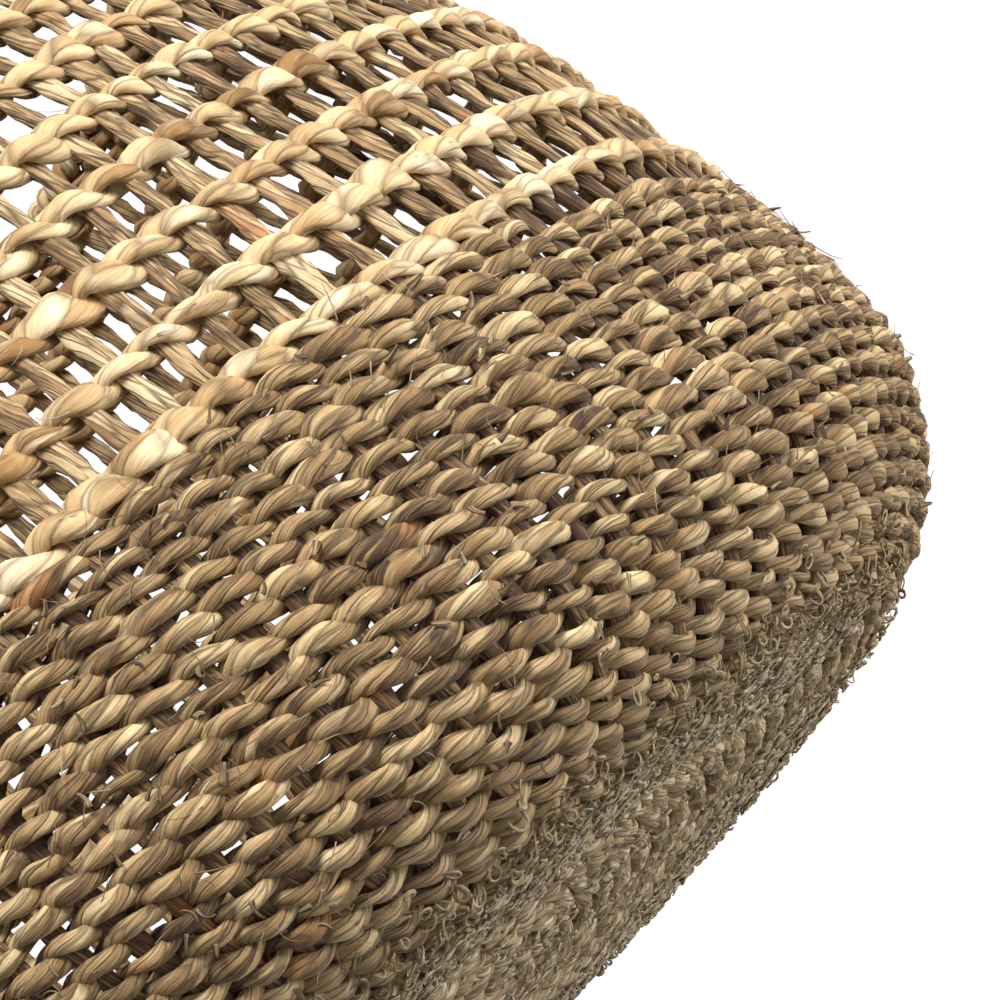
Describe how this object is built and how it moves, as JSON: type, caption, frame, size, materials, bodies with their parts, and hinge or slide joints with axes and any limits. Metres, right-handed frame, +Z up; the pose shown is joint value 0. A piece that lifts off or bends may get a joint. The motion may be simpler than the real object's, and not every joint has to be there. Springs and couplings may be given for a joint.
{
  "type": "storage basket",
  "caption": "Round twined grass storage basket with a close-woven base and lower side, an open-woven upper side and a plaited border.",
  "frame": {"origin": "middle of the flat underside", "axes": "+Z up through the mouth; +X and +Y level, and the last close-woven row ends between +X and -Y"},
  "size_m": [0.36, 0.36, 0.26],
  "materials": {
    "close_weave": "dull brown twisted grass",
    "base_weave": "worn greyish twisted grass",
    "cream_weave": "pale straw twisted grass blades",
    "stake_grass": "brown twisted grass"
  },
  "bodies": {
    "root": {"close_row_01": "close_weave", "close_row_02": "close_weave", "close_row_03": "close_weave", "close_row_04": "close_weave", "close_row_05": "close_weave", "close_row_06": "close_weave", "close_row_07": "close_weave", "close_row_08": "close_weave", "close_row_09": "close_weave", "close_row_10": "close_weave", "close_row_11": "close_weave", "close_row_12": "close_weave", "close_row_13": "close_weave", "close_row_14": "close_weave", "close_row_15": "close_weave", "close_row_16": "close_weave", "close_row_17": "close_weave", "close_row_18": "close_weave", "close_row_19": "close_weave", "close_row_20": "close_weave", "base_row_01": "base_weave", "base_row_02": "base_weave", "base_row_03": "base_weave", "base_row_04": "base_weave", "base_row_05": "base_weave", "base_row_06": "base_weave", "base_row_07": "base_weave", "base_row_08": "base_weave", "base_row_09": "base_weave", "base_row_10": "base_weave", "base_row_11": "base_weave", "base_row_12": "base_weave", "base_row_13": "base_weave", "base_row_14": "base_weave", "base_row_15": "base_weave", "base_row_16": "base_weave", "base_row_17": "base_weave", "base_row_18": "base_weave", "centre_knot": "base_weave", "open_row_01": "cream_weave", "open_row_02": "cream_weave", "open_row_03": "cream_weave", "open_row_04": "cream_weave", "open_row_05": "cream_weave", "open_row_06": "cream_weave", "open_row_07": "cream_weave", "open_row_08": "cream_weave", "open_row_09": "cream_weave", "rim_row_1": "cream_weave", "rim_row_2": "cream_weave", "border_plait": "cream_weave", "stakes_from_centre": "stake_grass", "stakes_added_in_base": "stake_grass", "stakes_added_near_edge": "stake_grass"}
  },
  "joints": []
}
